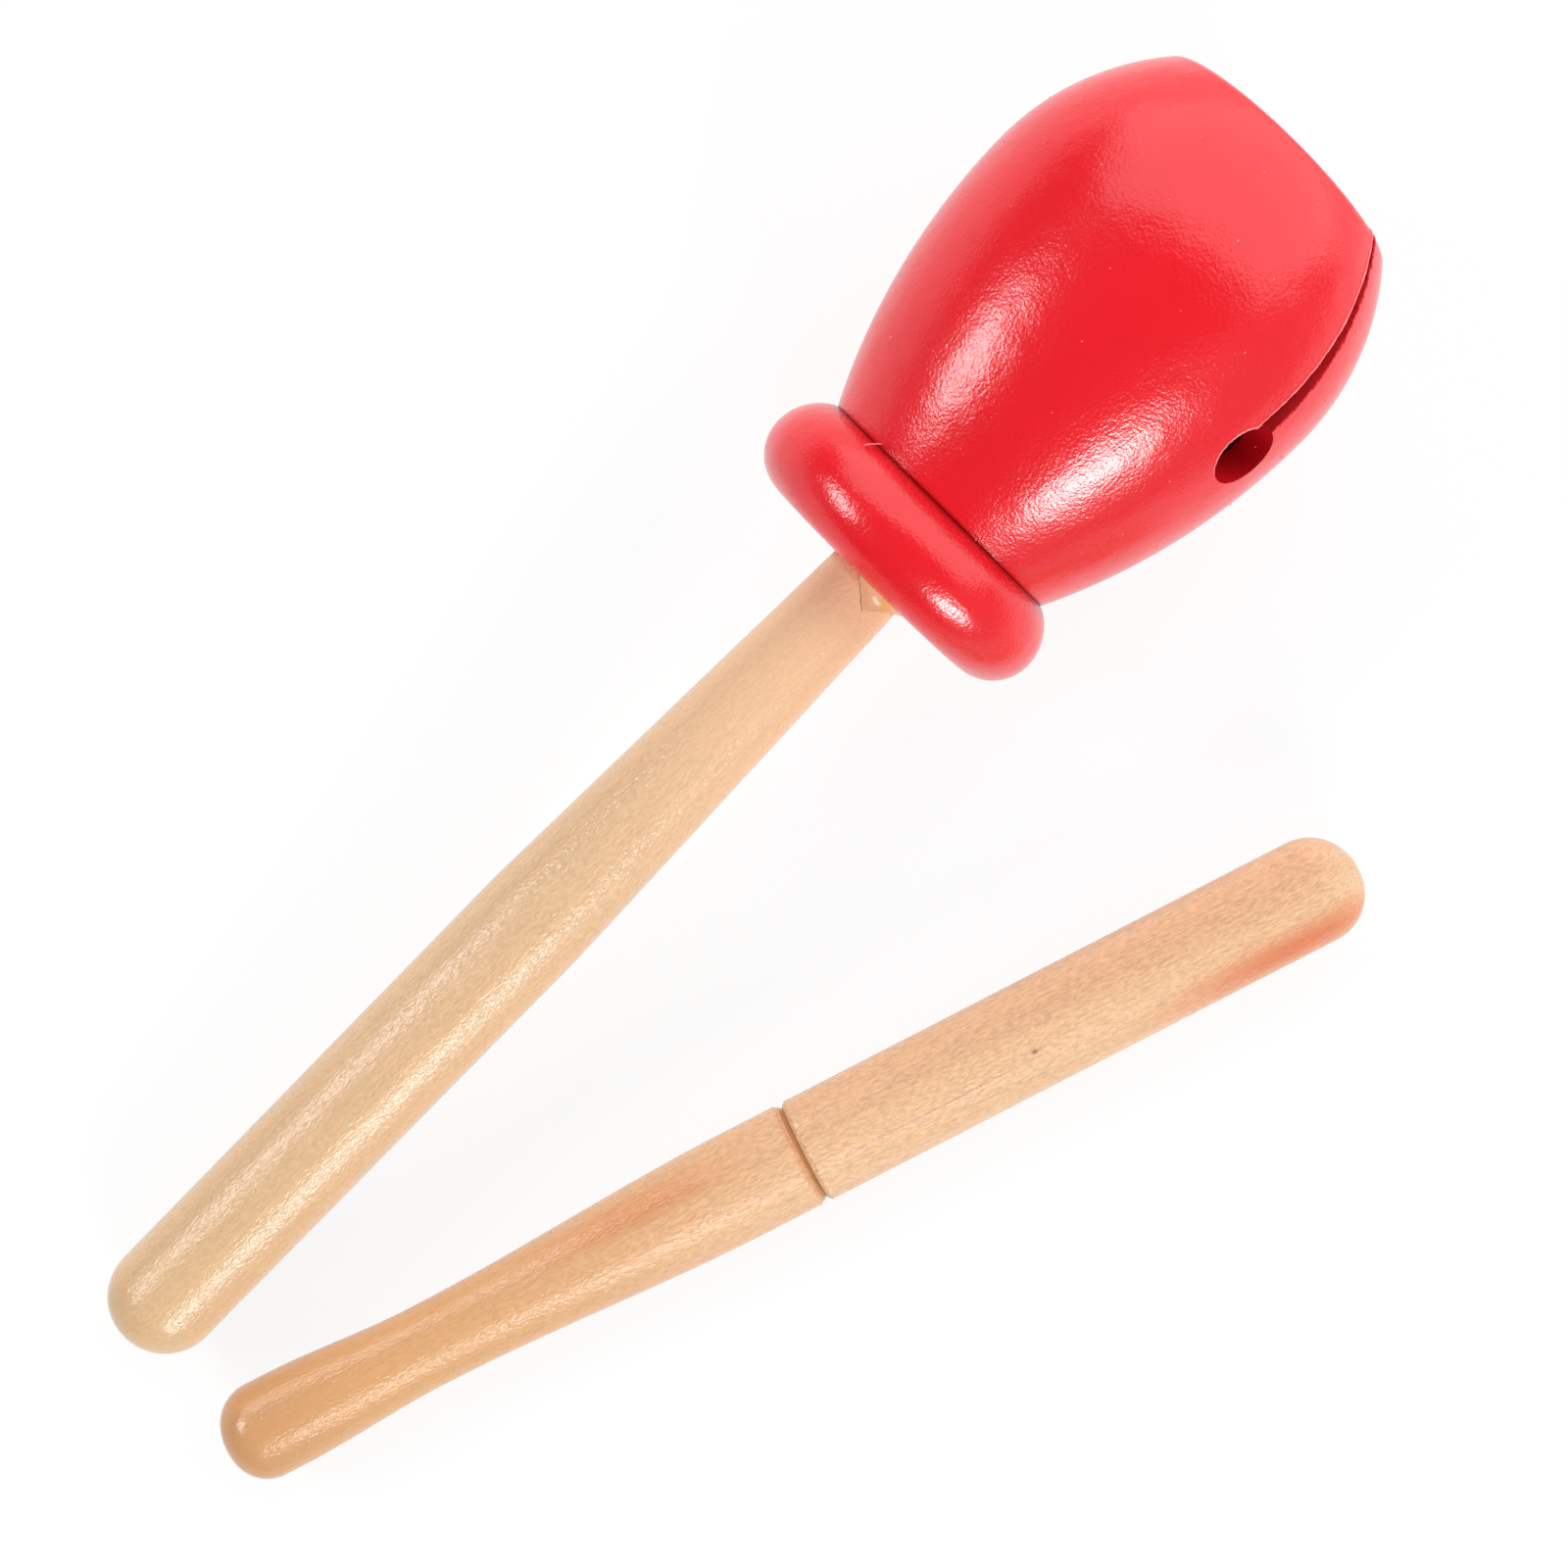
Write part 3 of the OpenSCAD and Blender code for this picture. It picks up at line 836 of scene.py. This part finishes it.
# %% Lips
lip_thick, lip_sides = 0.14, 10
rag_size = 0.45
# How much the thickness of a bead changes, over what length, and where its noise starts.
lip_swell, lip_swell_size, lip_swell_start = 0.5, 1.1, Vector((7, 0, 0))
mouth_swell, mouth_swell_size = 0.4, 1.3
mouth_wander, mouth_wander_size = 0.8, 0.5
bore_lip_end, bore_lip_points, bore_lip_fade = math.radians(255), 120, 0.9


def kerf_lip(name, side, rag, material):
    """Bead beside one edge of the cut. rag is how far it wanders over the edge and back."""
    y = side * kerf_half(bore_height)
    start = bore_height + math.sqrt(bore_r ** 2 - (y - bore_drop) ** 2)
    one_way = []
    for r, z in outline_over(start):
        y = side * (kerf_half(z) + lip_thick)
        if r > abs(y):
            one_way.append(Vector((math.sqrt(r * r - y * y), y, z)))
    whole = one_way + [Vector((-p.x, p.y, p.z)) for p in reversed(one_way)]
    path, thick = [], []
    for p in whole:
        path.append(p + Vector((0, side * rag * noise.noise(p / rag_size), 0)))
        thick.append(lip_thick * (1 + lip_swell * noise.noise(p / lip_swell_size + lip_swell_start)))
    verts, faces = tube(path, thick, lip_sides, Vector((0, 1, 0)))
    new_piece(name, in_row(verts, bowl_frame), faces, Matrix(), material, "block")


def bore_lip(name, side):
    """Bead round the upper edge of one mouth of the bore, from the cut to where it thins out."""
    path, thick = [], []
    first = math.acos((-kerf_half(bore_height + bore_r) - bore_drop) / bore_r)
    for k in range(bore_lip_points + 1):
        share = k / bore_lip_points
        a = first + (bore_lip_end - first) * share
        wander = mouth_wander * noise.noise(Vector((bore_r * a / mouth_wander_size, 0, side)))
        r = bore_r + lip_thick * (1 + wander)
        y = bore_drop + r * math.cos(a)
        z = bore_height + r * math.sin(a)
        path.append(Vector((side * math.sqrt(skin_r(z) ** 2 - y * y), y, z)))
        swelling = 1 + mouth_swell * noise.noise(path[-1] / mouth_swell_size)
        thick.append(lip_thick * swelling * (1 - bore_lip_fade * share ** 4))
    verts, faces = tube(path, thick, lip_sides, Vector((1, 0, 0)))
    new_piece(name, in_row(verts, bowl_frame), faces, Matrix(), highlight_pink_lacquer, "block")


# The upper lip and the bore's beads are pale pink: a painted highlight along those edges.
kerf_lip("kerf_lip_upper", -1, 0.1, highlight_pink_lacquer)
kerf_lip("kerf_lip_lower", 1, 0.5, red_lacquer)
bore_lip("bore_lip_near", 1)
bore_lip("bore_lip_far", -1)

# %% [markdown]
# ## Nibs
# Dust that settles on wet lacquer dries in as tiny pimples. Each catches the light as a bright dot. They
# could come from a bump too, but a dot needs a real slope to shine. A sprinkle of low domes does it, and
# the golden angle and two steps that never repeat spread them without rows and without a random number.

# %% Dust nibs in the lacquer
nib_count, nib_sides = 110, 8
nib_least, nib_more = 0.08, 0.12
nib_rings, nib_top = ((1.0, -0.1), (0.85, 0.35), (0.5, 0.65)), 0.75
nib_from, nib_to = 3.0, rim_z - 1.0
golden, height_step, size_step = math.pi * (3 - math.sqrt(5)), 0.7549, 0.5698


def nib(turn, z, size):
    """Points of a closed dome on the bowl's skin, ring by ring, with the top last."""
    tilt = math.asin((z - belly_height) / skin_bend(z))
    up = Vector((math.cos(tilt) * math.cos(turn), math.cos(tilt) * math.sin(turn), math.sin(tilt)))
    foot = Vector((skin_r(z) * math.cos(turn), skin_r(z) * math.sin(turn), z))
    side = Vector((-math.sin(turn), math.cos(turn), 0))
    fore = up.cross(side)
    points = []
    for ring_r, ring_h in nib_rings:
        for j in range(nib_sides):
            a = 2 * math.pi * j / nib_sides
            out = side * math.cos(a) + fore * math.sin(a)
            points.append(foot + out * size * ring_r + up * size * ring_h)
    return points + [foot + up * size * nib_top]


verts, faces = [], []
ring_next = [(j, (j + 1) % nib_sides) for j in range(nib_sides)]
for k in range(nib_count):
    first = len(verts)
    nib_z = nib_from + (nib_to - nib_from) * ((k * height_step) % 1)
    verts += nib(k * golden, nib_z, nib_least + nib_more * ((k * size_step) % 1) ** 4)
    faces.append(tuple(first + j for j in reversed(range(nib_sides))))
    for ring in range(len(nib_rings) - 1):
        low, high = first + nib_sides * ring, first + nib_sides * (ring + 1)
        faces += [(low + j, low + n, high + n, high + j) for j, n in ring_next]
    faces += [(len(verts) - 1, high + j, high + n) for j, n in ring_next]
# The domes are pale pink: a painted highlight on each dot.
new_piece("lacquer_nibs", in_row(verts, bowl_frame), faces, Matrix(), highlight_pink_lacquer, "block")

# %% [markdown]
# ## Glue at the joint
# When the handle was pushed into the collar, wood glue came out on one side and was left to dry. It
# stands up against the collar in a hollow curve and runs out on the handle to a hair-thin edge. Dried
# hide or casein glue is clear and amber. Real transparency would show the wood through it, but such a
# thin film is all but flat, so it is cheaper to give it the wood's colour where it is thin and amber
# where it has pooled.

# %% Dried glue
dust_size, dust_height = 0.6, 0.05
pool_middle, pool_half, pool_share = (4.6, 4.4, 147.0), (3.0, 2.2, 2.0), 0.9
glue_gloss, glue_ior = 0.3, 1.48


def dried_glue(name, film, pool):
    """Clear amber glue, run smooth as it dried: film where it is thin, pool in the corner at the collar."""
    material, tree, where = new_material(name)
    dust = add(tree, "TexNoise", {"Vector": where, "Scale": per_mm(dust_size), "Detail": 2.0})
    colour = stain_spot(tree, where, linear(film), pool, pool_middle, pool_half, pool_share)
    bump = add(tree, "Bump", {"Height": dust.outputs[0], "Distance": dust_height * MM, "Strength": 1.0})
    surface = add(tree, "BsdfPrincipled", {"Base Color": colour, "Roughness": glue_gloss, "IOR": glue_ior,
                                           "Normal": bump.outputs[0]})
    add(tree, "OutputMaterial", {"Surface": surface.outputs[0]})
    return material


glue_amber = dried_glue("dried_amber_glue", "#DDAE86", "#DFA548")
print("made", glue_amber.name)

# %% [markdown]
# ## The glue's patch
# Seen from above the patch is a tent: it starts at one side of the handle, reaches furthest down the
# handle part of the way round, and runs out below. A sheet over the handle would do from outside, but a
# closed skin is a proper piece, so each column is a loop: over the glue, and back under the wood's skin.

# %% Patch of glue
glue_start, glue_peak, glue_end, glue_reach = -1.4, 2.5, 6.6, 3.6
glue_film, glue_height, glue_curve, glue_power = 0.14, 1.7, 2.2, 2.5
glue_least, glue_wave, glue_wave_step, glue_edge_fade = 0.12, 0.08, 0.3, 0.12
glue_dip, glue_under, glue_into_collar = 0.06, 0.2, 0.1
glue_rows, glue_columns = 24, 90
edge_shade_rise = 0.03
neck_slope = (handle_r - neck_end_r) / (handle_length - grip_length)
first_turn, last_turn = math.asin(glue_start / neck_end_r), math.radians(130)


def on_handle(rise, turn, down):
    """A point over the handle's skin, at a turn and at a distance down from the collar."""
    r = neck_end_r + neck_slope * down + rise
    return Vector((r * math.cos(turn), r * math.sin(turn), handle_length + glue_into_collar - down))


verts, edge = [], []
for i in range(glue_columns + 1):
    turn = first_turn + (last_turn - first_turn) * i / glue_columns
    y = neck_end_r * math.sin(turn)
    climbing = (y - glue_start) / (glue_peak - glue_start)
    falling = (glue_end - y) / (glue_end - glue_peak)
    reach = min(climbing, falling) * glue_reach
    reach = glue_least + reach * (1 + glue_wave * noise.noise(Vector((i * glue_wave_step, 0, 0))))
    fill = smooth((y - glue_start) / (neck_end_r - glue_start))
    downs = [reach * j / glue_rows for j in range(glue_rows + 1)]
    for down in downs:
        rise = glue_film + glue_height * fill * max(0.0, 1 - down / glue_curve) ** glue_power
        rise = rise * smooth((reach - down) / glue_edge_fade) - glue_dip * (down == downs[-1])
        verts.append(on_handle(rise, turn, down))
    verts += [on_handle(-glue_under, turn, down) for down in reversed(downs)]
    # Only the edge up to the peak gets the dark line of painted shade.
    if y <= glue_peak:
        edge.append(on_handle(edge_shade_rise, turn, reach))
loop = 2 * (glue_rows + 1)
faces = [tuple(reversed(range(loop))), tuple(range(glue_columns * loop, len(verts)))]
for i in range(glue_columns):
    low, high = i * loop, (i + 1) * loop
    faces += [(low + j, low + (j + 1) % loop, high + (j + 1) % loop, high + j) for j in range(loop)]
glue = new_piece("handle_glue_dried", verts, faces, block_frame, glue_amber, "block")
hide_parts("handle_glue")

# %% [markdown]
# ## The glue's edge, a glue line and a sliver
# A dark line runs along the thin edge of the glue: painted shade of the step where the glue ends. A line of
# glue runs all round the handle where it enters the collar, pale as a painted highlight. At the seam of
# collar and bowl a sliver of lacquer has curled off, pale pink as a painted highlight. Textures could draw
# all three, but each stands up from its surface, so they are tubes again.

# %% Painted shade along the glue's edge, glue line and sliver
edge_shade_thick, edge_shade_sides, bead_sides = 0.07, 6, 8
edge_shade_brown = dried_glue("glue_edge_painted_shade", "#B08058", "#B08058")
verts, faces = tube(edge, [edge_shade_thick] * len(edge), edge_shade_sides, Vector((1, 0, 0)))
new_piece("glue_edge", verts, faces, block_frame, edge_shade_brown, "block")

line_r, line_thick, line_points, line_gap = 5.9, 0.16, 96, 0.02
line_swell, line_swell_size = 0.4, 1.5
line_height = handle_length - line_gap
line_turns = [2 * math.pi * k / line_points for k in range(line_points)]
path = [Vector((line_r * math.cos(a), line_r * math.sin(a), line_height)) for a in line_turns]
thick = [line_thick * (1 + line_swell * noise.noise(p / line_swell_size)) for p in path]
verts, faces = tube(path, thick, bead_sides, Vector((0, 0, 1)), ring=True)
# The glue line's pale colour is a painted highlight along the bead.
glue_line_highlight = dried_glue("glue_line_painted_highlight", "#F6CDB4", "#F6CDB4")
new_piece("glue_line", verts, faces, block_frame, glue_line_highlight, "block")

sliver_turn, sliver_sweep, sliver_points = math.radians(-34.5), math.radians(5), 14
sliver_r, sliver_bow, sliver_thick, sliver_taper = 20.7, 0.5, 0.17, 0.7
sliver_foot, sliver_rise, sliver_curl = seam_height - 1.1, 1.7, 1.5
path, thick = [], []
for k in range(sliver_points + 1):
    share = k / sliver_points
    a = sliver_turn + sliver_sweep * share
    r = sliver_r + sliver_bow * math.sin(math.pi * share)
    path.append(Vector((r * math.cos(a), r * math.sin(a), sliver_foot + sliver_rise * share ** sliver_curl)))
    thick.append(sliver_thick * (1 - sliver_taper * share))
verts, faces = tube(path, thick, bead_sides, Vector((1, 0, 0)))
# The sliver is pale pink: a painted highlight along its curl.
new_piece("seam_sliver", verts, faces, block_frame, highlight_pink_lacquer, "block")
